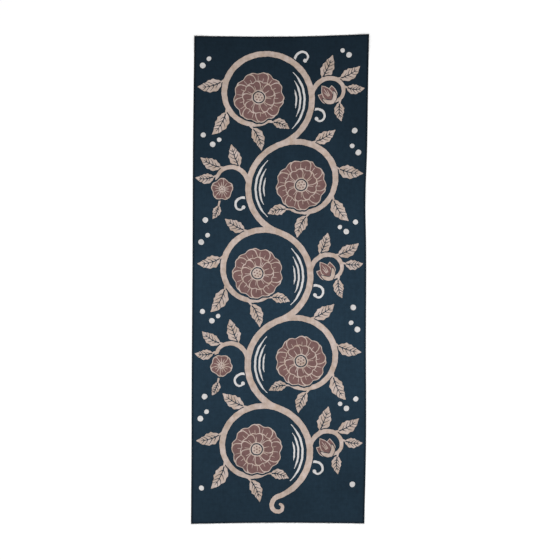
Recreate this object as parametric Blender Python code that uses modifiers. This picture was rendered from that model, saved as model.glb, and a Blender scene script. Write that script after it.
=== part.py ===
# Tenugui towel
#
# One length of narrow plain-woven cotton, laid out flat: its long sides are the loom's selvedges and
# its short ends are cut and left unhemmed. Metres, +Z up, the towel's length along Y. The origin is the
# middle of the towel's outline box, on the surface that the cloth lies on.

import math

import bmesh
import bpy
import numpy as np

# The cloth, measured between its corners
LENGTH = 0.928
TOP_WIDTH = 0.332
BOTTOM_WIDTH = 0.3293
THICKNESS = 0.001

# The weft isn't quite square to the selvedges, so each end is higher on its right by this much
TOP_SKEW = 0.0059
BOTTOM_SKEW = 0.0037

# How far each edge is drawn in from the straight line between its corners. A row is one place on the
# edge: its share of the way, from the left or from the bottom, and the inset there in metres
LEFT_INSET = ((0.0, 0.0), (0.15, 0.0), (0.25, -0.0004), (0.55, -0.0006), (0.79, -0.0011), (1.0, 0.0))
RIGHT_INSET = (
    (0.0, 0.0),
    (0.15, -0.0018),
    (0.37, 0.0002),
    (0.57, 0.0017),
    (0.66, 0.0038),
    (0.76, 0.0016),
    (0.90, 0.0008),
    (1.0, 0.0),
)
BOTTOM_INSET = ((0.0, 0.0), (0.16, 0.0008), (0.44, 0.0018), (0.75, 0.0010), (1.0, 0.0))
TOP_INSET = ((0.0, 0.0), (0.14, 0.0009), (0.41, 0.0027), (0.72, 0.0021), (0.86, 0.0009), (1.0, 0.0))

# Low swells where the cloth stands off the surface. A row is one swell: where its middle is across and
# along the cloth, its half length and half width, the turn of its length from the X axis in degrees,
# and its height
SWELLS = (
    (-0.020, 0.400, 0.085, 0.030, 84, 0.0026),
    (0.118, 0.152, 0.070, 0.022, 12, 0.0030),
    (-0.112, 0.115, 0.070, 0.026, -58, 0.0020),
    (-0.105, -0.135, 0.060, 0.024, 38, 0.0021),
    (0.112, -0.305, 0.062, 0.028, 62, 0.0024),
    (-0.030, -0.425, 0.065, 0.026, 98, 0.0020),
    (-0.160, 0.452, 0.034, 0.024, 135, 0.0022),
    (0.162, 0.458, 0.040, 0.026, 48, 0.0034),
    (0.160, -0.458, 0.036, 0.024, 132, 0.0022),
)
LYING_DEPTH = 0.0003  # of each swell's foot, which the cloth's weight presses flat
FOOT_SOFTNESS = 0.0005  # how gently the cloth leaves the surface at a swell's foot

CELLS_ACROSS = 20
CELLS_ALONG = 56

COTTON_COLOUR = (0.018, 0.032, 0.048, 1.0)
COTTON_ROUGHNESS = 0.85


def inset(share, rows):
    """An edge's inset at a share of its way, on a smooth curve through its rows."""
    places, values = np.array(rows).T
    slopes = np.gradient(values, places)
    row = int(np.clip(np.searchsorted(places, share) - 1, 0, len(places) - 2))
    gap = places[row + 1] - places[row]
    t = (share - places[row]) / gap
    return (
        (2 * t**3 - 3 * t**2 + 1) * values[row]
        + (t**3 - 2 * t**2 + t) * gap * slopes[row]
        + (3 * t**2 - 2 * t**3) * values[row + 1]
        + (t**3 - t**2) * gap * slopes[row + 1]
    )


def place_on_surface(across, along):
    """Where the point at these shares of the width and the length lies, seen from above."""
    half_width = (BOTTOM_WIDTH + (TOP_WIDTH - BOTTOM_WIDTH) * along) / 2
    skew = BOTTOM_SKEW + (TOP_SKEW - BOTTOM_SKEW) * along
    x = (2 * across - 1) * half_width
    y = (2 * along - 1) * LENGTH / 2 + (across - 0.5) * skew
    x += (1 - across) * inset(along, LEFT_INSET) - across * inset(along, RIGHT_INSET)
    y += (1 - along) * inset(across, BOTTOM_INSET) - along * inset(across, TOP_INSET)
    return x, y


def lift(x, y):
    """How far the cloth's underside stands off the surface there."""
    height = -LYING_DEPTH
    for middle_x, middle_y, half_length, half_width, turn, swell_height in SWELLS:
        cosine, sine = math.cos(math.radians(turn)), math.sin(math.radians(turn))
        lengthways = (x - middle_x) * cosine + (y - middle_y) * sine
        sideways = (y - middle_y) * cosine - (x - middle_x) * sine
        height += swell_height * math.exp(-((lengthways / half_length) ** 2) - (sideways / half_width) ** 2)
    clear = max(height, 0.0)
    return clear**2 / (clear + FOOT_SOFTNESS)


def cotton():
    """The towel's dyed cotton."""
    material = bpy.data.materials.new("dyed_cotton")
    material.use_nodes = True
    shader = material.node_tree.nodes["Principled BSDF"]
    shader.inputs["Base Color"].default_value = COTTON_COLOUR
    shader.inputs["Roughness"].default_value = COTTON_ROUGHNESS
    shader.inputs["Metallic"].default_value = 0.0
    return material


def towel_cloth():
    """The cloth's underside as a grid moved into place, thickened upwards."""
    grid = bmesh.new()
    bmesh.ops.create_grid(grid, x_segments=CELLS_ACROSS, y_segments=CELLS_ALONG, size=0.5)
    for vertex in grid.verts:
        x, y = place_on_surface(vertex.co.x + 0.5, vertex.co.y + 0.5)
        vertex.co = (x, y, lift(x, y))
    corners = np.array([vertex.co for vertex in grid.verts])
    middle = (corners.min(axis=0) + corners.max(axis=0)) / 2
    bmesh.ops.translate(grid, verts=grid.verts, vec=(-middle[0], -middle[1], 0.0))
    mesh = bpy.data.meshes.new("towel_cloth")
    grid.to_mesh(mesh)
    grid.free()
    mesh.shade_smooth()
    mesh.materials.append(cotton())
    cloth = bpy.data.objects.new("towel_cloth", mesh)
    thickness = cloth.modifiers.new("thickness", "SOLIDIFY")
    thickness.thickness = THICKNESS
    thickness.offset = 1.0
    return cloth


for old in list(bpy.data.objects):
    bpy.data.objects.remove(old)
towel = bpy.data.collections.new("tenugui_towel")
bpy.context.scene.collection.children.link(towel)
towel.objects.link(towel_cloth())
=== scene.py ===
"""A tenugui towel laid out flat: the looks of its one sheet of dyed cotton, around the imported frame."""

import math

import bpy
import numpy as np
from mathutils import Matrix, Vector
from mathutils.bvhtree import BVHTree
from mathutils.geometry import delaunay_2d_cdt
from mathutils.kdtree import KDTree


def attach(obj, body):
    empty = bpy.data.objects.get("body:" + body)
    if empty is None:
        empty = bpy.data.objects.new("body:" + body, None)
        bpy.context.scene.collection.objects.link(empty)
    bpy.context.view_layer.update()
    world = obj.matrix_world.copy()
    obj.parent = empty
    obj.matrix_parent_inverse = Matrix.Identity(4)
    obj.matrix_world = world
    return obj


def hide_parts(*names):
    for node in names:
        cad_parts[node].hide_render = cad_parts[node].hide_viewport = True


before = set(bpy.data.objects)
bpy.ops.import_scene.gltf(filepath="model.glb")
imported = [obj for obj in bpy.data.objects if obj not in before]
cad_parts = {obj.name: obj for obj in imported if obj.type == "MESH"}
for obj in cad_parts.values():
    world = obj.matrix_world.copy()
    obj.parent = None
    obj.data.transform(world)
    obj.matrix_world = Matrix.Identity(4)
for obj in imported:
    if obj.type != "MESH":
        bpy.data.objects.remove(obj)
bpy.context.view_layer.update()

# The cloth as it lies
#
# One width of narrow-loom cotton, cut to length and left unhemmed. It lies flat but for a few low
# swells. The weft isn't quite square to the selvedges, and each edge wanders a little.

MM = 0.001
WIDTH = 331.0  # of the cut cloth, in millimetres, as is all that is drawn on it
LENGTH = 928.0
TOP_WIDTH = 0.332  # and of the cloth as it lies, in metres
BOTTOM_WIDTH = 0.3293
TOP_SKEW = 0.0059
BOTTOM_SKEW = 0.0037

# How far each edge is drawn in from the straight line between its corners. A row is one place on the
# edge: its share of the way, from the left or from the bottom, and the inset there in metres
LEFT_INSET = ((0.0, 0.0), (0.15, 0.0), (0.25, -0.0004), (0.55, -0.0006), (0.79, -0.0011), (1.0, 0.0))
RIGHT_INSET = (
    (0.0, 0.0),
    (0.15, -0.0018),
    (0.37, 0.0002),
    (0.57, 0.0017),
    (0.66, 0.0038),
    (0.76, 0.0016),
    (0.90, 0.0008),
    (1.0, 0.0),
)
BOTTOM_INSET = ((0.0, 0.0), (0.16, 0.0008), (0.44, 0.0018), (0.75, 0.0010), (1.0, 0.0))
TOP_INSET = ((0.0, 0.0), (0.14, 0.0009), (0.41, 0.0027), (0.72, 0.0021), (0.86, 0.0009), (1.0, 0.0))

# Low swells where the cloth stands off the surface. A row is one swell: where its middle is across and
# along the cloth, its half length and half width, the turn of its length from the X axis in degrees,
# and its height
SWELLS = (
    (-0.020, 0.400, 0.085, 0.030, 84, 0.0026),
    (0.118, 0.152, 0.070, 0.022, 12, 0.0030),
    (-0.112, 0.115, 0.070, 0.026, -58, 0.0020),
    (-0.105, -0.135, 0.060, 0.024, 38, 0.0021),
    (0.112, -0.305, 0.062, 0.028, 62, 0.0024),
    (-0.030, -0.425, 0.065, 0.026, 98, 0.0020),
    (-0.160, 0.452, 0.034, 0.024, 135, 0.0022),
    (0.162, 0.458, 0.040, 0.026, 48, 0.0034),
    (0.160, -0.458, 0.036, 0.024, 132, 0.0022),
)
LYING_DEPTH = 0.0003  # of each swell's foot, which the cloth's weight presses flat
FOOT_SOFTNESS = 0.0005  # how gently the cloth leaves the surface at a swell's foot


def inset(share, rows):
    """An edge's inset at shares of its way, on a smooth curve through its rows."""
    places, values = np.array(rows).T
    slopes = np.gradient(values, places)
    row = np.clip(np.searchsorted(places, share) - 1, 0, len(places) - 2)
    gap = places[row + 1] - places[row]
    t = (share - places[row]) / gap
    return (
        (2 * t**3 - 3 * t**2 + 1) * values[row]
        + (t**3 - 2 * t**2 + t) * gap * slopes[row]
        + (3 * t**2 - 2 * t**3) * values[row + 1]
        + (t**3 - t**2) * gap * slopes[row + 1]
    )


def place_on_surface(flat_points):
    """Where points of the flat cloth, in millimetres from its middle, lie seen from above."""
    across = np.clip(flat_points[:, 0] / WIDTH + 0.5, 0, 1)
    along = np.clip(flat_points[:, 1] / LENGTH + 0.5, 0, 1)
    half_width = (BOTTOM_WIDTH + (TOP_WIDTH - BOTTOM_WIDTH) * along) / 2
    skew = BOTTOM_SKEW + (TOP_SKEW - BOTTOM_SKEW) * along
    x = (2 * across - 1) * half_width
    y = (2 * along - 1) * LENGTH * MM / 2 + (across - 0.5) * skew
    x += (1 - across) * inset(along, LEFT_INSET) - across * inset(along, RIGHT_INSET)
    y += (1 - along) * inset(across, BOTTOM_INSET) - along * inset(across, TOP_INSET)
    return x, y


def lift(x, y):
    """How far the cloth's underside stands off the surface there."""
    height = np.full(len(x), -LYING_DEPTH)
    for middle_x, middle_y, half_length, half_width, turn, swell_height in SWELLS:
        cosine, sine = math.cos(math.radians(turn)), math.sin(math.radians(turn))
        lengthways = (x - middle_x) * cosine + (y - middle_y) * sine
        sideways = (y - middle_y) * cosine - (x - middle_x) * sine
        height += swell_height * np.exp(-((lengthways / half_length) ** 2) - (sideways / half_width) ** 2)
    clear = np.maximum(height, 0.0)
    return clear**2 / (clear + FOOT_SOFTNESS)


def lay_down(flat_points):
    """Points of the flat cloth, in millimetres, as the cloth's underside lies, in metres."""
    flat_points = np.asarray(flat_points, float)
    rim = np.array([[-0.5, -0.5], [0.5, -0.5], [0.5, 0.5], [-0.5, 0.5]])
    steps = np.linspace(0, 1, 57)[:-1, None]
    rim = np.vstack([a + (b - a) * steps for a, b in zip(rim, np.roll(rim, -1, axis=0))])
    rim_x, rim_y = place_on_surface(rim * [WIDTH, LENGTH])
    x, y = place_on_surface(flat_points)
    z = lift(x, y)
    x -= (rim_x.min() + rim_x.max()) / 2
    y -= (rim_y.min() + rim_y.max()) / 2
    return np.stack([x, y, z], axis=1)


# The dyed pattern
#
# Resist paste brushed through cut stencils keeps each dye where it belongs: a running scroll with
# flowers, in sand, plum and white on a dark blue ground, and dyed right through the thin cloth.
# Shapes are laid one on another, each with a line of bare ground round it where it crosses others.

GROUND, SAND, PLUM, WHITE = range(4)
TURN = 2 * math.pi
GROUND_LINE = 2.0  # round a shape that lies on others
ARC_STEP = math.radians(3.5)  # between the points of a small curve
OUTLINE_STEP = 1.25  # between the points of a leaf's or petal's outline

shapes = []  # each an outline and its dye, from the lowest to the topmost
hand = np.random.default_rng(7)  # the cutter's unevenness


def lay(outline, dye):
    """Lays one closed shape of a dye on those before it."""
    shapes.append((np.asarray(outline, float), dye))


def unit(angle):
    return np.array([math.cos(angle), math.sin(angle)])


def evenly(path, step):
    """The path with its points a step apart."""
    lengths = np.linalg.norm(np.diff(path, axis=0), axis=1)
    done = np.concatenate([[0], np.cumsum(lengths)])
    at = np.linspace(0, done[-1], max(3, int(done[-1] / step) + 1))
    return np.stack([np.interp(at, done, path[:, 0]), np.interp(at, done, path[:, 1])], axis=1)


def turning_path(start, heading, radius, turn, way, shrink=0.0, step=ARC_STEP):
    """A curve that turns left (way 1) or right (way -1), its radius falling as it goes."""
    done = np.linspace(0, turn, max(6, int(turn / step) + 2))
    radii = radius * np.exp(-shrink * done)
    lengths = (radii[1:] + radii[:-1]) / 2 * np.diff(done)
    headings = heading + way * (done[1:] + done[:-1]) / 2
    moves = lengths[:, None] * np.stack([np.cos(headings), np.sin(headings)], axis=1)
    return np.vstack([start, start + np.cumsum(moves, axis=0)])


def wound_up_at(start, heading, radius, way, shrink):
    """The point that such a curve winds round."""
    lead = math.atan(shrink)
    return np.asarray(start) + radius * math.cos(lead) * unit(heading + way * (math.pi / 2 - lead))


def headings_of(path):
    moves = np.gradient(path, axis=0)
    return np.unwrap(np.arctan2(moves[:, 1], moves[:, 0]))


def band(path, half):
    """The outline of a stroke along a path, with round ends; half is its half width at each point."""
    half = np.broadcast_to(half, len(path)).astype(float)
    headings = headings_of(path)
    side = np.stack([-np.sin(headings), np.cos(headings)], axis=1) * half[:, None]

    def end(centre, radius, first):
        angles = first - np.linspace(0, math.pi, 3 + int(radius))[1:-1]
        return centre + radius * np.stack([np.cos(angles), np.sin(angles)], axis=1)

    return np.vstack(
        [
            path + side,
            end(path[-1], half[-1], headings[-1] + math.pi / 2),
            (path - side)[::-1],
            end(path[0], half[0], headings[0] - math.pi / 2),
        ]
    )


def disc(centre, radius):
    angles = np.linspace(0, TURN, 12 + int(4 * radius), endpoint=False)
    return np.asarray(centre) + radius * np.stack([np.cos(angles), np.sin(angles)], axis=1)


def grown(outline, by=GROUND_LINE):
    """The outline moved outwards."""
    after, before = np.roll(outline, -1, axis=0), np.roll(outline, 1, axis=0)
    turned = np.sign(np.sum(outline[:, 0] * after[:, 1] - after[:, 0] * outline[:, 1]))
    along = after - before
    outwards = np.stack([along[:, 1], -along[:, 0]], axis=1) * turned
    return outline + by * outwards / np.maximum(np.linalg.norm(outwards, axis=1), 1e-6)[:, None]


def smooth_curve(points, step=OUTLINE_STEP):
    """A smooth curve through a few points."""
    p = np.asarray(points, float)
    p = np.vstack([2 * p[0] - p[1], p, 2 * p[-1] - p[-2]])
    t = np.linspace(0, 1, 12, endpoint=False)[:, None]
    spans = [
        0.5 * (2 * b + (c - a) * t + (2 * a - 5 * b + 4 * c - d) * t**2 + (3 * b - 3 * c + d - a) * t**3)
        for a, b, c, d in zip(p, p[1:], p[2:], p[3:])
    ]
    return evenly(np.vstack(spans + [p[-2:-1]]), step)


def two_sided(rows, length, spread):
    """A shape along +x whose one side is given by rows of shares of its length and spread."""
    side = smooth_curve(np.array(rows) * [length, spread])
    return np.vstack([side, (side * [1, -1])[-2:0:-1]])


def set_down(shape, at, heading):
    """A shape drawn along +x from (0, 0), turned and moved to a point."""
    c, s = math.cos(heading), math.sin(heading)
    return np.asarray(at) + np.stack([shape[:, 0] * c - shape[:, 1] * s, shape[:, 0] * s + shape[:, 1] * c], 1)


# A leaf, on a stalk, with its midrib and veins left as bare ground
RIB_POINTS = 34
VEIN_SHARES = (0.20, 0.36, 0.52, 0.67)


def leaf(root, heading, side, length, width, bend, stalk_length):
    """Lays a leaf that bends to one side, and gives back its stalk's path."""
    stalk = np.asarray(root) + np.linspace(0, stalk_length, 4)[:, None] * unit(heading)
    t = np.linspace(0, 1, RIB_POINTS)
    headings = heading + side * bend * t
    moves = np.stack([np.cos(headings), np.sin(headings)], axis=1) * length / (RIB_POINTS - 1)
    rib = stalk[-1] + np.vstack([[0, 0], np.cumsum(moves[:-1], axis=0)])
    blade = np.sin(math.pi * t**0.82) ** 0.9 * (1 - 0.30 * t)
    blade *= width / 2 / blade.max() * (1 + 0.08 * np.sin(t * 8.5 * math.pi))
    across = np.stack([-np.sin(headings), np.cos(headings)], axis=1) * blade[:, None]
    outline = evenly(np.vstack([rib + across, (rib - across)[-2:0:-1]]), OUTLINE_STEP)
    lay(grown(outline), GROUND)
    lay(outline, SAND)
    shown = rib[2 : int(0.84 * RIB_POINTS) : 2]
    lay(band(shown, np.linspace(1.2, 0.5, len(shown))), GROUND)
    for share in VEIN_SHARES:
        i = int(share * (RIB_POINTS - 1))
        for s in (1, -1):
            vein = turning_path(rib[i], headings[i] + s * 0.95, blade[i] * 2.5, 0.42, -s)
            lay(band(vein, np.linspace(0.8, 0.35, len(vein))), GROUND)
    return stalk


# Petals, in plum edged and streaked with sand
PETAL = ((0.02, 0.10), (0.30, 0.24), (0.62, 0.42), (0.86, 0.43), (0.98, 0.25), (0.93, 0.0))
EDGING = 1.7


def petal(centre, angle, length, spread, streaks, reach):
    lay(set_down(two_sided(PETAL, length, spread), centre, angle), SAND)
    filling = two_sided(PETAL, length - 2 * EDGING, spread - 2.3 * EDGING)
    lay(set_down(filling, centre + EDGING * unit(angle), angle), PLUM)
    for i in range(streaks):
        off = i - (streaks - 1) / 2
        streak = np.linspace(0.15, reach - 0.08 * abs(off), 8)[:, None] * length
        lay(band(centre + streak * unit(angle + off * 0.30 * spread / length), np.linspace(1.0, 0.4, 8)), SAND)


def petal_ring(centre, count, spin, length, spread, streaks, reach):
    for i in range(count):
        petal(centre, spin + i * TURN / count, length, spread, streaks, reach)


def ground_under_petals(centre, count, spin, length, spread):
    for i in range(count):
        lay(grown(set_down(two_sided(PETAL, length, spread), centre, spin + i * TURN / count), 2.9), GROUND)


def flower(centre, radius, spin):
    """A full flower seen from above: two rings of petals round a seed head."""
    count = 9
    ground_under_petals(centre, count, spin, radius, radius * 0.94)
    petal_ring(centre, count, spin, radius, radius * 0.94, 3, 0.85)
    petal_ring(centre, count, spin + math.pi / count, radius * 0.66, radius * 0.60, 1, 0.74)
    lay(disc(centre, radius * 0.29), SAND)
    lay(disc(centre, radius * 0.245), GROUND)
    lay(disc(centre, radius * 0.20), SAND)
    lay(disc(centre, 1.5), PLUM)
    for i in range(6):
        lay(disc(centre + radius * 0.12 * unit(spin + i * TURN / 6), 1.4), PLUM)


def blossom(centre, radius, spin):
    """A small open flower of five broad petals."""
    ground_under_petals(centre, 5, spin, radius, radius * 1.45)
    petal_ring(centre, 5, spin, radius, radius * 1.45, 3, 0.74)
    lay(disc(centre, radius * 0.30), SAND)
    for i in range(5):
        lay(disc(centre + radius * 0.16 * unit(spin + (i + 0.5) * TURN / 5), 1.1), PLUM)


# A bud: three petals in two sepals
BUD_PETAL = ((0.0, 0.05), (0.15, 0.26), (0.42, 0.37), (0.72, 0.25), (0.93, 0.07), (1.0, 0.0))
BUD_FAN = ((0.55, 0.86), (-0.55, 0.86), (0.0, 1.04))  # each petal's turn and its share of the size


def bud(at, size, heading):
    spread = 0.80 * size
    for turn, share in BUD_FAN:
        lay(grown(set_down(two_sided(BUD_PETAL, size * share, spread), at, heading + turn)), GROUND)
    for turn, share in BUD_FAN:
        lay(set_down(two_sided(BUD_PETAL, size * share, spread), at, heading + turn), SAND)
        filling = two_sided(BUD_PETAL, size * share - 4.0, spread - 4.2)
        lay(set_down(filling, at + 1.9 * unit(heading + turn), heading + turn), PLUM)
    for turn in (-0.16, 0.0, 0.16):
        streak = at + np.linspace(0.34, 0.80 - abs(turn), 8)[:, None] * size * unit(heading + turn)
        lay(band(streak, np.linspace(0.9, 0.4, 8)), SAND)
    foot = at - 2.0 * unit(heading)
    sepals = [turning_path(foot, heading + side * 1.25, size * 0.52, 1.15, -side) for side in (1, -1)]
    half = 3.4 * np.sin(np.linspace(0.22, 1, len(sepals[0])) * math.pi) ** 0.8 + 0.3
    for sepal in sepals:
        lay(band(sepal, half + 1.3), GROUND)
    for sepal in sepals:
        lay(band(sepal, half), SAND)
    lay(disc(at - 1.5 * unit(heading), 4.0), SAND)


# White tendrils that end in a bead, and white berries
BEAD = 3.6


def tendril(start, heading, radius, turn, way):
    path = turning_path(start, heading, radius, turn, way, 0.24)
    half = np.linspace(2.4, 1.7, len(path))
    lay(band(path, half + 1.6), GROUND)
    lay(disc(path[-1], BEAD + 1.6), GROUND)
    lay(band(path, half), WHITE)
    lay(disc(path[-1], BEAD), WHITE)


def berry(at, radius):
    lay(disc(at, radius + 1.6), GROUND)
    lay(disc(at, radius), WHITE)


# The running scroll: arcs that swing to the right and to the left in turn. Where two arcs meet, a
# branch runs on round the flower that the last one cradles, and from each swing's outside a spray
# curls the other way, round a bud or a blossom
BAY = 168.0  # from one meeting of arcs to the next
BAYS = 5
FIRST_MEETING = -414.0
CRADLE = 30.0  # an arc's centre from the middle line
ARC = math.hypot(CRADLE, BAY / 2)
HALF_SWING = math.asin(BAY / 2 / ARC)
STEM_STEP = math.radians(1.6)  # between the points along a stem
BRANCH_TURN, BRANCH_SHRINK = math.radians(228), 0.15
BRANCH_END, BRANCH_END_TURN = 23.0, math.radians(84)  # the radius and turn of its end, under the flower
SPRAY_RADIUS, SPRAY_SHRINK = 41.0, 0.20
BUD_SPRAY_TURN, BLOSSOM_SPRAY_TURN = math.radians(285), math.radians(232)
FOOT_GROWTH = math.radians(42)  # of the lowest swing, along which the stem grows to its full width
FLOWER_SPIN, FLOWER_SPIN_STEP = 0.56, 0.09  # so that a petal lies over each branch's end
# The leaf from under a blossom: its heading, the side it bends to, length, width, bend and stalk, from
# the blossom's centre
BLOSSOM_LEAF = (math.radians(-102), -1, 28, 15, 0.45, 32.0)

# Leaves on the outside of a curve: how far it has turned there, in degrees, the splay from it, the
# length, the width, and how far the leaf bends
BRANCH_LEAVES = (
    (37, 0.62, 46, 23, 0.45),
    (87, 0.66, 48, 24, 0.60),
    (134, 0.68, 50, 24, 0.65),
    (187, 0.66, 46, 22, 0.65),
    (226, 0.50, 36, 19, 0.60),
)
SPRAY_LEAVES = (
    (54, 0.42, 46, 23, 0.30),
    (114, 0.66, 44, 22, 0.60),
    (157, 0.80, 34, 18, 0.70),
    (226, 0.62, 35, 18, 0.60),
)
# Thin white lines inside a swing: how far in, from and to which angle, and the half width
WHITE_LINES = ((14.0, -46, 46, 2.0), (22.0, -27, 33, 1.8), (29.5, -14, 20, 1.5))
# Tendrils on a swing's outside: the angle, the splay, the radius, and the turn. The second is on the
# topmost swing alone
TENDRILS = ((-15, 0.50, 20, 5.2), (50, 0.42, 20, 4.9))
# Berries: across and along from the bay's middle, and the radius
BERRIES = (
    (-149, 66, 5.4),
    (-137, 79, 4.4),
    (128, 84, 5.2),
    (116, 93, 4.2),
    (141, -60, 5.3),
    (-146, -66, 4.8),
)


def leaves_along(path, way, rows, stalk_length):
    """Lays the leaves of a curve that turns one way, and gives back their stalks."""
    stalks = []
    headings = headings_of(path)
    turned = way * (headings - headings[0])
    side = -way
    for degrees, splay, length, width, bend in rows:
        there = math.radians(degrees)
        root = np.array([np.interp(there, turned, path[:, 0]), np.interp(there, turned, path[:, 1])])
        heading = np.interp(there, turned, headings) + side * (splay + 0.07 * hand.uniform(-1, 1))
        size = 1 + 0.06 * hand.uniform(-1, 1)
        bend = bend * (1 + 0.15 * hand.uniform(-1, 1))
        stalks.append(leaf(root, heading, side, length * size, width * size, bend, stalk_length))
    return stalks


def draw_scroll():
    """Lays the whole scroll: leaves lowest, then tendrils and berries, the stems, and the flowers."""
    stem, strokes, stalks, heads = [], [], [], []
    for bay in range(BAYS):
        side = 1 if bay % 2 == 0 else -1  # where the stem swings to
        flip = np.array([side, 1])
        middle = FIRST_MEETING + (bay + 0.5) * BAY
        centre = np.array([-CRADLE, middle])

        def on_arc(angle):
            heading = angle + math.pi / 2
            return (centre + ARC * unit(angle)) * flip, heading if side > 0 else math.pi - heading

        def concentric(radius, low, high):
            angles = np.arange(low, high + STEM_STEP / 2, STEM_STEP)
            return (centre + radius * np.stack([np.cos(angles), np.sin(angles)], axis=1)) * flip

        arc = concentric(ARC, -HALF_SWING, HALF_SWING)
        stem.append(arc if bay == BAYS - 1 else arc[:-1])
        for inwards, low, high, half in WHITE_LINES:
            line = concentric(ARC - inwards, math.radians(low), math.radians(high))
            t = np.linspace(0, 1, len(line))
            lay(band(line, half * np.clip(6.4 * t * (1 - t), 0.35, 1)), WHITE)

        start, heading = on_arc(HALF_SWING)
        branch = turning_path(start, heading, ARC, BRANCH_TURN, side, BRANCH_SHRINK, STEM_STEP)
        end_heading = heading + side * BRANCH_TURN
        end = turning_path(branch[-1], end_heading, BRANCH_END, BRANCH_END_TURN, side, 0.0, STEM_STEP)
        branch = np.vstack([branch, end[1:]])
        rows = BRANCH_LEAVES if bay < BAYS - 1 else BRANCH_LEAVES[1:]
        stalks += leaves_along(branch, side, rows, 12.0)
        strokes.append((branch, np.interp(np.linspace(0, 1, len(branch)), [0, 0.25, 1], [5.2, 5.6, 3.2])))
        flower_centre = wound_up_at(start, heading, ARC, side, BRANCH_SHRINK)
        spin = FLOWER_SPIN + FLOWER_SPIN_STEP * bay
        heads.append((flower, flower_centre, 48.0, spin if side > 0 else math.pi - spin))

        start, heading = on_arc(math.radians(2))
        turn = BUD_SPRAY_TURN if side > 0 else BLOSSOM_SPRAY_TURN
        spray = turning_path(start, heading, SPRAY_RADIUS, turn, -side, SPRAY_SHRINK, STEM_STEP)
        strokes.append((spray, np.interp(np.linspace(0, 1, len(spray)), [0, 0.2, 1], [4.0, 4.4, 2.7])))
        if side > 0:
            stalks += leaves_along(spray, -side, SPRAY_LEAVES, 9.0)
            heads.append((bud, spray[-1], 35.0, headings_of(spray)[-1] - 0.75))
        else:
            stalks += leaves_along(spray, -side, SPRAY_LEAVES[:-1], 9.0)
            blossom_centre = spray[-1] + 4.0 * unit(headings_of(spray)[-1])
            stalks.append(leaf(blossom_centre, *BLOSSOM_LEAF))
            heads.append((blossom, blossom_centre, 20.0, 0.3 * bay))

        for angle, splay, radius, turn in TENDRILS if bay == BAYS - 1 else TENDRILS[:1]:
            start, heading = on_arc(math.radians(angle))
            tendril(start, heading - side * splay, radius, turn, -side)
        for x, y, radius in BERRIES:
            berry(np.array([x, middle + y]) * flip, radius)

    stem = np.vstack(stem)
    foot = turning_path(stem[0], headings_of(stem)[0] + math.pi, 20.0, math.radians(330), 1, 0.24)
    stem = np.vstack([foot[:0:-1], stem])
    count = len(foot)
    full = count + round(FOOT_GROWTH / STEM_STEP)
    stem_half = np.interp(np.arange(len(stem)), [0, count, full, len(stem) - 1], [2.6, 4.8, 6.0, 5.4])
    strokes.append((stem, stem_half))

    for path, half in strokes:
        lay(band(path, half + GROUND_LINE), GROUND)
    for stalk in stalks:
        lay(band(stalk, np.linspace(2.3, 1.6, len(stalk))), SAND)
    for path, half in strokes:
        lay(band(path, half), SAND)
    for draw, at, size, turn in heads:
        draw(at, size, turn)


draw_scroll()

# The sheet's mesh
#
# The cloth is cut into triangles along the lines where its dyes meet, so that each triangle holds
# one dye, and is laid down on the surface and thickened to the real cloth's thickness.

CLOTH_THICKNESS = 0.00045
GRID_STEP = 6.0
CLEAR_OF_LINES = 1.6  # a grid point nearer to a line of the pattern than this is left out
MEETS_WITHIN = 0.02  # points this near to one another are one point
STENCIL_WANDER = 0.5  # of the lines, from the cutting of the stencil and the creep of the dye
EDGE_POINTS_ALONG = 232
EDGE_POINTS_ACROSS = 84


def wandering(points):
    """The points moved a little, neighbours alike, as a hand-cut line wanders."""
    x, y = points[:, 0], points[:, 1]
    move_x = np.sin(0.31 * y + 0.9) + 0.6 * np.sin(0.67 * y + 0.23 * x) + 0.4 * np.sin(1.13 * x + 0.71 * y)
    move_y = np.sin(0.29 * x + 2.1) + 0.6 * np.sin(0.71 * x - 0.19 * y) + 0.4 * np.sin(0.97 * y - 0.83 * x)
    return points + STENCIL_WANDER * 0.4 * np.stack([move_x, move_y], axis=1)


def cut_edge():
    """The flat cloth's outline, in millimetres, anticlockwise."""
    corners = np.array([[-1, -1], [1, -1], [1, 1], [-1, 1]]) * [WIDTH / 2, LENGTH / 2]
    counts = (EDGE_POINTS_ACROSS, EDGE_POINTS_ALONG) * 2
    sides = [
        a + (b - a) * np.linspace(0, 1, count, endpoint=False)[:, None]
        for a, b, count in zip(corners, np.roll(corners, -1, axis=0), counts)
    ]
    return np.vstack(sides)


def triangles_of(outlines, lines, loose):
    """Triangles between outlines, lines and loose points, and the outlines that each one lies in."""
    points, faces = [], []
    for outline in outlines:
        after = np.roll(outline, -1, axis=0)
        if np.sum(outline[:, 0] * after[:, 1] - after[:, 0] * outline[:, 1]) < 0:
            outline = outline[::-1]
        faces.append(list(range(len(points), len(points) + len(outline))))
        points += [Vector(p) for p in outline]
    line_points, line_edges = lines
    edges = [(a + len(points), b + len(points)) for a, b in line_edges]
    points += [Vector(p) for p in line_points] + [Vector(p) for p in loose]
    corners, _, triangles, _, _, origins = delaunay_2d_cdt(points, edges, faces, 0, MEETS_WITHIN, True)
    return np.array([tuple(c) for c in corners]), triangles, origins


edge = cut_edge()
outlines = [edge] + [wandering(outline) for outline, _ in shapes]
dyes = [GROUND] + [dye for _, dye in shapes]
corners, triangles, origins = triangles_of(outlines, ([], []), [])
on_cloth = [i for i, found in enumerate(origins) if 0 in found]
triangle_dye = {i: dyes[max(origins[i])] for i in on_cloth}

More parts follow.
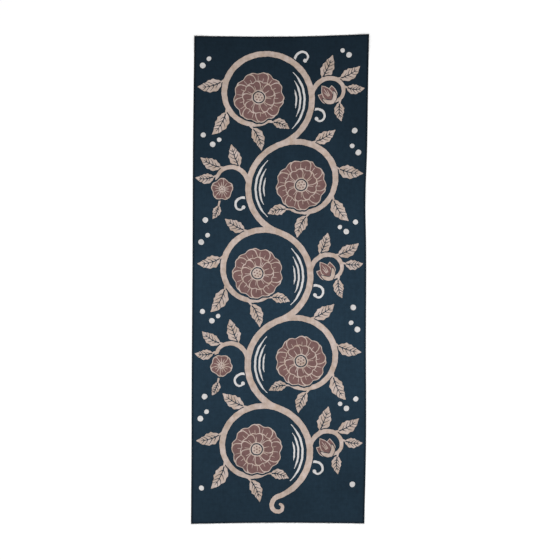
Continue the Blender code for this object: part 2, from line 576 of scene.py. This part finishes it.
beside = {}
for i in on_cloth:
    a, b, c = triangles[i]
    for pair in ((a, b), (b, c), (c, a)):
        beside.setdefault(tuple(sorted(pair)), []).append(triangle_dye[i])
meetings = [pair for pair, found in beside.items() if len(found) == 2 and found[0] != found[1]]
kept = sorted({corner for pair in meetings for corner in pair})
number = {corner: i for i, corner in enumerate(kept)}
meeting_points = corners[kept]
meeting_edges = [(number[a], number[b]) for a, b in meetings]

near = KDTree(len(meeting_points))
for i, (x, y) in enumerate(meeting_points):
    near.insert((x, y, 0), i)
near.balance()
across = np.linspace(-0.5, 0.5, int(WIDTH / GRID_STEP) + 1)[1:-1] * WIDTH
along = np.linspace(-0.5, 0.5, int(LENGTH / GRID_STEP) + 1)[1:-1] * LENGTH
grid = [(x, y) for y in along for x in across if near.find((x, y, 0))[2] > CLEAR_OF_LINES]

dyed = BVHTree.FromPolygons([(x, y, 0) for x, y in corners], [triangles[i] for i in on_cloth])
flat_points, faces, _ = triangles_of([edge], (meeting_points, meeting_edges), grid)

flat_points = np.array(flat_points)
laid = lay_down(flat_points)
laid[:, 2] += CLOTH_THICKNESS
mesh = bpy.data.meshes.new("towel")
mesh.from_pydata([tuple(p) for p in laid], [], faces)
mesh.shade_smooth()

centres = [flat_points[list(face)].mean(axis=0) for face in faces]
face_dyes = np.array([triangle_dye[on_cloth[dyed.find_nearest((x, y, 0))[2]]] for x, y in centres])
for name, dye in (("sand", SAND), ("plum", PLUM), ("white", WHITE)):
    share = mesh.attributes.new(name, "FLOAT", "FACE")
    share.data.foreach_set("value", (face_dyes == dye).astype(np.float32))
uv = mesh.uv_layers.new(name="cloth")
corner_points = np.zeros(len(mesh.loops), np.int32)
mesh.loops.foreach_get("vertex_index", corner_points)
uv.data.foreach_set("uv", (flat_points[corner_points] * MM).astype(np.float32).ravel())

towel = bpy.data.objects.new("towel", mesh)
bpy.context.scene.collection.objects.link(towel)
thickness = towel.modifiers.new("thickness", "SOLIDIFY")
thickness.thickness = CLOTH_THICKNESS
thickness.offset = -1.0
bpy.context.view_layer.update()
thick = bpy.data.meshes.new_from_object(towel.evaluated_get(bpy.context.evaluated_depsgraph_get()))
thick.set_sharp_from_angle(angle=math.radians(50))
towel.modifiers.remove(thickness)
towel.data = thick

# Dyed cotton
#
# A plain weave of fine cotton yarn, matt and a little uneven: the yarn has thick and thin places, and
# the ground comes out darker towards the ends, the top end most, partly uneven dye and partly painted
# shade; the pale dyes darken there a little too, as painted shade. The dyes go right through.

GROUND_DYE = (0.0165, 0.0365, 0.0580, 1)
SAND_DYE = (0.485, 0.372, 0.302, 1)
THIN_SAND_DYE = (0.590, 0.487, 0.443, 1)  # where it has taken less
PLUM_DYE = (0.189, 0.106, 0.101, 1)
WHITE_DYE = (0.67, 0.65, 0.64, 1)
YARN_PITCH = 0.00048
YARN_RELIEF = 0.00006
SELVEDGE = 0.004  # wide, along each long side, where the warp yarns lie closer together
DARK_RIM = 0.005  # wide, along every edge, where the dye has gathered as the cloth dried
# How light the ground comes out, uneven dye and painted shade together, at shares of the way from the bottom end to
# the top
GROUND_DYE_AND_SHADE_TONES = ((0.0, 0.73), (0.38, 1.02), (0.68, 0.78), (1.0, 0.46))


def calculate(tree, operation, *values):
    """A Math node on sockets or numbers; gives back its output."""
    node = tree.nodes.new("ShaderNodeMath")
    node.operation = operation
    for socket, value in zip(node.inputs, values):
        if isinstance(value, bpy.types.NodeSocket):
            tree.links.new(value, socket)
        else:
            socket.default_value = value
    return node.outputs[0]


def noise(tree, place, stretch, detail):
    """Noise at a place on the cloth, from 0 to 1; stretch is its grains to the metre, each way."""
    stretched = tree.nodes.new("ShaderNodeVectorMath")
    stretched.operation = "MULTIPLY"
    tree.links.new(place, stretched.inputs[0])
    stretched.inputs[1].default_value = (*stretch, 1)
    node = tree.nodes.new("ShaderNodeTexNoise")
    node.inputs["Scale"].default_value = 1.0
    node.inputs["Detail"].default_value = detail
    tree.links.new(stretched.outputs[0], node.inputs["Vector"])
    return node.outputs["Fac"]


def group(name, inputs, outputs):
    """A shader node group with float or vector sockets; gives back its tree, input and output nodes."""
    tree = bpy.data.node_groups.new(name, "ShaderNodeTree")
    for socket, kind in inputs.items():
        tree.interface.new_socket(socket, in_out="INPUT", socket_type=kind)
    for socket, kind in outputs.items():
        tree.interface.new_socket(socket, in_out="OUTPUT", socket_type=kind)
    return tree, tree.nodes.new("NodeGroupInput"), tree.nodes.new("NodeGroupOutput")


def plain_weave():
    """Yarns that pass over and under one another: their height at a place on the cloth, from 0 to 1."""
    sockets = {"Place": "NodeSocketVector", "Pitch": "NodeSocketFloat"}
    tree, given, made = group("plain weave", sockets, {"Height": "NodeSocketFloat"})
    place, pitch = given.outputs["Place"], given.outputs["Pitch"]
    parts = tree.nodes.new("ShaderNodeSeparateXYZ")
    tree.links.new(place, parts.inputs[0])
    waves = []
    for axis, grains in ((0, (150, 110)), (1, (120, 170))):
        wander = calculate(tree, "MULTIPLY", noise(tree, place, grains, 1.0), 0.0006)
        turns = calculate(tree, "DIVIDE", calculate(tree, "ADD", parts.outputs[axis], wander), pitch)
        waves.append(calculate(tree, "SINE", calculate(tree, "MULTIPLY", turns, math.pi)))
    warp_over = calculate(tree, "GREATER_THAN", calculate(tree, "MULTIPLY", *waves), 0.0)
    # The yarn on top is round across and lies long and flat along its way
    across = calculate(tree, "MULTIPLY_ADD", warp_over, 0.5, 0.3)
    along = calculate(tree, "MULTIPLY_ADD", warp_over, -0.5, 0.8)
    across = calculate(tree, "POWER", calculate(tree, "ABSOLUTE", waves[0]), across)
    along = calculate(tree, "POWER", calculate(tree, "ABSOLUTE", waves[1]), along)
    tree.links.new(calculate(tree, "MULTIPLY", across, along), made.inputs["Height"])
    return tree


def uneven_yarn():
    """The thick and thin places of the yarns, both ways, from 0 to 1."""
    tree, given, made = group("uneven yarn", {"Place": "NodeSocketVector"}, {"Thick": "NodeSocketFloat"})
    place = given.outputs["Place"]
    warp = noise(tree, place, (900, 16), 1.0)
    weft = noise(tree, place, (20, 820), 1.0)
    tree.links.new(calculate(tree, "MULTIPLY", calculate(tree, "ADD", warp, weft), 0.5), made.inputs["Thick"])
    return tree


def uneven_dye():
    """How strongly the dye has taken, about 1: in clouds, and less even close to."""
    tree, given, made = group("uneven dye", {"Place": "NodeSocketVector"}, {"Strength": "NodeSocketFloat"})
    place = given.outputs["Place"]
    clouds = calculate(tree, "MULTIPLY_ADD", noise(tree, place, (16, 12), 2.0), 0.46, 0.77)
    close = calculate(tree, "MULTIPLY_ADD", noise(tree, place, (150, 130), 3.0), 0.50, -0.25)
    tree.links.new(calculate(tree, "ADD", clouds, close), made.inputs["Strength"])
    return tree


WEAVE, YARN, DYE = plain_weave(), uneven_yarn(), uneven_dye()


def mixed(tree, blend, share, first, second):
    """A colour mix; first and second are sockets or colours."""
    node = tree.nodes.new("ShaderNodeMix")
    node.data_type = "RGBA"
    node.blend_type = blend
    for socket, value in ((node.inputs[0], share), (node.inputs[6], first), (node.inputs[7], second)):
        if isinstance(value, bpy.types.NodeSocket):
            tree.links.new(value, socket)
        else:
            socket.default_value = value
    return node.outputs[2]


def scaled(tree, colour, by):
    """The colour times a float socket."""
    factor = tree.nodes.new("ShaderNodeCombineXYZ")
    for socket in factor.inputs:
        tree.links.new(by, socket)
    return mixed(tree, "MULTIPLY", 1.0, colour, factor.outputs[0])


def attribute(tree, name):
    node = tree.nodes.new("ShaderNodeAttribute")
    node.attribute_name = name
    return node.outputs["Fac"]


def use(tree, group_tree, place, **inputs):
    """One of those groups at a place on the cloth; gives back its output."""
    node = tree.nodes.new("ShaderNodeGroup")
    node.node_tree = group_tree
    tree.links.new(place, node.inputs["Place"])
    for name, value in inputs.items():
        node.inputs[name].default_value = value
    return node.outputs[0]


def dyed_cotton():
    material = bpy.data.materials.new("dyed_cotton")
    material.use_nodes = True
    tree = material.node_tree
    shader = tree.nodes["Principled BSDF"]
    map_node = tree.nodes.new("ShaderNodeUVMap")
    map_node.uv_map = "cloth"
    place = map_node.outputs["UV"]
    height = use(tree, WEAVE, place, Pitch=YARN_PITCH)
    thick = use(tree, YARN, place)
    strength = use(tree, DYE, place)
    parts = tree.nodes.new("ShaderNodeSeparateXYZ")
    tree.links.new(place, parts.inputs[0])
    # The ground's tone along the cloth, partly uneven dye and partly painted shade, darker towards the ends
    lengthways = tree.nodes.new("ShaderNodeValToRGB")
    lengthways.color_ramp.interpolation = "CARDINAL"
    stops = lengthways.color_ramp.elements
    for place_along, _ in GROUND_DYE_AND_SHADE_TONES[1:-1]:
        stops.new(place_along)
    for stop, (_, tone_there) in zip(stops, GROUND_DYE_AND_SHADE_TONES):
        stop.color = (tone_there, tone_there, tone_there, 1)
    tree.links.new(
        calculate(tree, "MULTIPLY_ADD", parts.outputs["Y"], 1 / (LENGTH * MM), 0.5), lengthways.inputs["Fac"]
    )
    ground = scaled(tree, GROUND_DYE, lengthways.outputs["Color"])
    thin = calculate(tree, "MULTIPLY_ADD", noise(tree, place, (75, 60), 2.0), 2.6, -0.8)
    sand = mixed(tree, "MIX", thin, SAND_DYE, THIN_SAND_DYE)
    pale = mixed(tree, "MIX", attribute(tree, "plum"), sand, PLUM_DYE)
    pale = mixed(tree, "MIX", attribute(tree, "white"), pale, WHITE_DYE)
    # Painted shade: the pale dyes darken a little towards the ends along with the ground
    pale = scaled(tree, pale, calculate(tree, "POWER", lengthways.outputs["Color"], 0.2))
    in_pale = calculate(tree, "ADD", attribute(tree, "plum"), attribute(tree, "white"))
    in_pale = calculate(tree, "ADD", in_pale, attribute(tree, "sand"))
    colour = mixed(tree, "MIX", in_pale, ground, pale)

    close = calculate(tree, "MULTIPLY_ADD", thick, 0.50, 0.65)
    # Painted shade in the hollows of the weave: the colour is darker where the yarns lie low and lighter on their
    # crowns
    close = calculate(tree, "MULTIPLY", close, calculate(tree, "MULTIPLY_ADD", height, 0.42, 0.74))
    close = calculate(tree, "MULTIPLY", close, strength)
    from_side, from_end = (
        calculate(tree, "MULTIPLY_ADD", calculate(tree, "ABSOLUTE", parts.outputs[axis]), -1.0, size * MM / 2)
        for axis, size in (("X", WIDTH), ("Y", LENGTH))
    )
    in_selvedge = calculate(tree, "LESS_THAN", from_side, SELVEDGE)
    close = calculate(tree, "MULTIPLY", close, calculate(tree, "MULTIPLY_ADD", in_selvedge, -0.20, 1.0))
    nearest = calculate(tree, "MINIMUM", from_side, from_end)
    at_rim = calculate(tree, "MAXIMUM", calculate(tree, "MULTIPLY_ADD", nearest, -1 / DARK_RIM, 1.0), 0.0)
    close = calculate(tree, "MULTIPLY", close, calculate(tree, "MULTIPLY_ADD", at_rim, -0.60, 1.0))
    tree.links.new(scaled(tree, colour, close), shader.inputs["Base Color"])

    relief = calculate(tree, "MULTIPLY_ADD", thick, 0.8, height)
    bump = tree.nodes.new("ShaderNodeBump")
    bump.inputs["Strength"].default_value = 0.5
    bump.inputs["Distance"].default_value = YARN_RELIEF
    tree.links.new(relief, bump.inputs["Height"])
    tree.links.new(bump.outputs["Normal"], shader.inputs["Normal"])
    # The yarns' crowns are pressed smoother than the hollows between them
    tree.links.new(calculate(tree, "MULTIPLY_ADD", height, -0.12, 0.98), shader.inputs["Roughness"])
    shader.inputs["Specular IOR Level"].default_value = 0.05
    shader.inputs["Sheen Weight"].default_value = 0.02
    shader.inputs["Sheen Roughness"].default_value = 0.6
    return material


towel.data.materials.clear()
towel.data.materials.append(dyed_cotton())
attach(towel, "root")
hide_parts("towel_cloth")

# The cut ends
#
# Both short ends are cut across the warp and left raw, so the ends of the warp yarns stand a
# millimetre or two clear of the last weft.

YARN_END_SPACING = 0.0007
YARN_END_LENGTH = 0.0014
YARN_RADIUS = 0.00009
YARN_TWIST = 0.00028  # from one slanting ridge of the twisted yarn to the next
# The ground's dye at a little over half its lightness: painted shade, for the shaded sides that the yarns' ends
# show
YARN_END_SHADED_DYE = (0.009, 0.020, 0.032, 1)


def yarn_end_tree(material):
    tree = bpy.data.node_groups.new("yarn ends", "GeometryNodeTree")
    tree.interface.new_socket("Cut edges", in_out="INPUT", socket_type="NodeSocketGeometry")
    for name in ("Spacing", "Length", "Radius"):
        tree.interface.new_socket(name, in_out="INPUT", socket_type="NodeSocketFloat")
    tree.interface.new_socket("Seed", in_out="INPUT", socket_type="NodeSocketInt")
    tree.interface.new_socket("Yarn ends", in_out="OUTPUT", socket_type="NodeSocketGeometry")
    new, join = tree.nodes.new, tree.links.new
    given, made = new("NodeGroupInput"), new("NodeGroupOutput")

    line = new("GeometryNodeMeshToCurve")
    spaced = new("GeometryNodeResampleCurve")
    spaced.mode = "LENGTH"
    join(given.outputs["Cut edges"], line.inputs["Mesh"])
    join(line.outputs["Curve"], spaced.inputs["Curve"])
    join(given.outputs["Spacing"], spaced.inputs["Length"])

    tangent = new("GeometryNodeInputTangent")
    outwards = new("ShaderNodeVectorMath")
    outwards.operation = "CROSS_PRODUCT"
    join(tangent.outputs["Tangent"], outwards.inputs[0])
    outwards.inputs[1].default_value = (0, 0, 1)
    aim = new("FunctionNodeAlignRotationToVector")
    aim.axis = "Y"
    join(outwards.outputs["Vector"], aim.inputs["Vector"])
    lean = new("FunctionNodeRandomValue")
    lean.data_type = "FLOAT_VECTOR"
    lean.inputs["Min"].default_value = (-0.04, -0.15, -0.38)
    lean.inputs["Max"].default_value = (0.04, 0.15, 0.38)
    join(given.outputs["Seed"], lean.inputs["Seed"])
    turn = new("FunctionNodeRotateRotation")
    turn.rotation_space = "LOCAL"
    join(aim.outputs["Rotation"], turn.inputs["Rotation"])
    join(lean.outputs["Value"], turn.inputs["Rotate By"])

    strand = new("GeometryNodeCurveQuadraticBezier")
    strand.inputs["Resolution"].default_value = 3
    strand.inputs["Start"].default_value = (0, -0.5, 0)
    strand.inputs["Middle"].default_value = (0.05, 0.45, 0.02)
    strand.inputs["End"].default_value = (-0.22, 1.0, 0.0)
    size = new("FunctionNodeRandomValue")
    size.inputs[2].default_value = 0.35
    size.inputs[3].default_value = 1.25
    join(given.outputs["Seed"], size.inputs["Seed"])
    sized = new("ShaderNodeMath")
    sized.operation = "MULTIPLY"
    join(size.outputs[1], sized.inputs[0])
    join(given.outputs["Length"], sized.inputs[1])

    planted = new("GeometryNodeInstanceOnPoints")
    join(spaced.outputs["Curve"], planted.inputs["Points"])
    join(strand.outputs["Curve"], planted.inputs["Instance"])
    join(turn.outputs["Rotation"], planted.inputs["Rotation"])
    join(sized.outputs["Value"], planted.inputs["Scale"])
    real = new("GeometryNodeRealizeInstances")
    join(planted.outputs["Instances"], real.inputs["Geometry"])
    round_yarn = new("GeometryNodeCurvePrimitiveCircle")
    round_yarn.inputs["Resolution"].default_value = 4
    join(given.outputs["Radius"], round_yarn.inputs["Radius"])
    tube = new("GeometryNodeCurveToMesh")
    tube.inputs["Fill Caps"].default_value = True
    join(real.outputs["Geometry"], tube.inputs["Curve"])
    join(round_yarn.outputs["Curve"], tube.inputs["Profile Curve"])
    finish = new("GeometryNodeSetMaterial")
    finish.inputs["Material"].default_value = material
    join(tube.outputs["Mesh"], finish.inputs["Geometry"])
    join(finish.outputs["Geometry"], made.inputs["Yarn ends"])
    return tree


def cotton_yarn():
    material = bpy.data.materials.new("cotton_yarn")
    material.use_nodes = True
    tree = material.node_tree
    shader = tree.nodes["Principled BSDF"]
    place = tree.nodes.new("ShaderNodeTexCoord").outputs["Object"]
    close = calculate(tree, "MULTIPLY_ADD", use(tree, YARN, place), 1.3, 0.35)
    close = calculate(tree, "MULTIPLY", close, use(tree, DYE, place))
    tree.links.new(scaled(tree, YARN_END_SHADED_DYE, close), shader.inputs["Base Color"])

    parts = tree.nodes.new("ShaderNodeSeparateXYZ")
    tree.links.new(place, parts.inputs[0])
    slant = calculate(tree, "ADD", parts.outputs["X"], parts.outputs["Y"])
    twist = calculate(tree, "SINE", calculate(tree, "MULTIPLY", slant, TURN / YARN_TWIST))
    bump = tree.nodes.new("ShaderNodeBump")
    bump.inputs["Strength"].default_value = 0.5
    bump.inputs["Distance"].default_value = YARN_RADIUS / 4
    tree.links.new(twist, bump.inputs["Height"])
    tree.links.new(bump.outputs["Normal"], shader.inputs["Normal"])
    tree.links.new(calculate(tree, "MULTIPLY_ADD", twist, -0.05, 0.92), shader.inputs["Roughness"])
    shader.inputs["Specular IOR Level"].default_value = 0.05
    return material


ends = bpy.data.meshes.new("yarn_ends")
cut_points, cut_lines = [], []
for side in (-1, 1):
    across = np.linspace(-0.5, 0.5, EDGE_POINTS_ACROSS) * WIDTH * -side
    row = lay_down(np.stack([across, np.full(len(across), side * LENGTH / 2)], axis=1))
    row[:, 2] += CLOTH_THICKNESS / 2
    first = len(cut_points)
    cut_points += [tuple(p) for p in row]
    cut_lines += [(first + i, first + i + 1) for i in range(len(row) - 1)]
ends.from_pydata(cut_points, cut_lines, [])
yarn_ends = bpy.data.objects.new("yarn_ends", ends)
bpy.context.scene.collection.objects.link(yarn_ends)
tree = yarn_end_tree(cotton_yarn())
fraying = yarn_ends.modifiers.new("yarn ends", "NODES")
fraying.node_group = tree
settings = {"Spacing": YARN_END_SPACING, "Length": YARN_END_LENGTH, "Radius": YARN_RADIUS, "Seed": 5}
for socket in tree.interface.items_tree:
    if socket.name in settings:
        fraying[socket.identifier] = settings[socket.name]
bpy.context.view_layer.update()
grown_ends = bpy.data.meshes.new_from_object(yarn_ends.evaluated_get(bpy.context.evaluated_depsgraph_get()))
yarn_ends.modifiers.remove(fraying)
yarn_ends.data = grown_ends
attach(yarn_ends, "root")

# The surface, the light and the camera
#
# A plain pale surface under broad soft light, seen from straight above through a long lens.

VIEW_WIDTH = 1.064  # of the surface, across the picture
CAMERA_HEIGHT = 4.0
SENSOR = 36.0
LEAN = math.radians(0.475)  # of the towel, clockwise in the picture
VIEW_MIDDLE = (0.0007, -0.0017)

floor_mesh = bpy.data.meshes.new("floor")
floor_mesh.from_pydata([(-9, -9, -0.0001), (9, -9, -0.0001), (9, 9, -0.0001), (-9, 9, -0.0001)], [], [(0, 1, 2, 3)])
floor = bpy.data.objects.new("floor", floor_mesh)
bpy.context.scene.collection.objects.link(floor)
paper = bpy.data.materials.new("paper")
paper.use_nodes = True
paper_shader = paper.node_tree.nodes["Principled BSDF"]
paper_shader.inputs["Base Color"].default_value = (0.94, 0.94, 0.94, 1)
paper_shader.inputs["Roughness"].default_value = 1.0
paper_shader.inputs["Specular IOR Level"].default_value = 0.0
floor_mesh.materials.append(paper)

world = bpy.data.worlds.new("studio")
world.use_nodes = True
world.node_tree.nodes["Background"].inputs["Color"].default_value = (1, 1, 1, 1)
world.node_tree.nodes["Background"].inputs["Strength"].default_value = 0.78
bpy.context.scene.world = world


def soft_light(name, at, size, power):
    light = bpy.data.lights.new(name, "AREA")
    light.shape = "DISK"
    light.size = size
    light.energy = power
    lamp = bpy.data.objects.new(name, light)
    lamp.location = at
    lamp.rotation_euler = (-Vector(at)).to_track_quat("-Z", "Y").to_euler()
    bpy.context.scene.collection.objects.link(lamp)


soft_light("key", (1.6, -1.4, 5.0), 2.6, 114)

eye = bpy.data.cameras.new("camera")
eye.sensor_width = SENSOR
eye.lens = SENSOR * CAMERA_HEIGHT / VIEW_WIDTH
camera = bpy.data.objects.new("camera", eye)
camera.location = (*VIEW_MIDDLE, CAMERA_HEIGHT)
camera.rotation_euler = (0, 0, LEAN)
bpy.context.scene.collection.objects.link(camera)
bpy.context.scene.camera = camera
bpy.context.scene.view_settings.view_transform = "Standard"
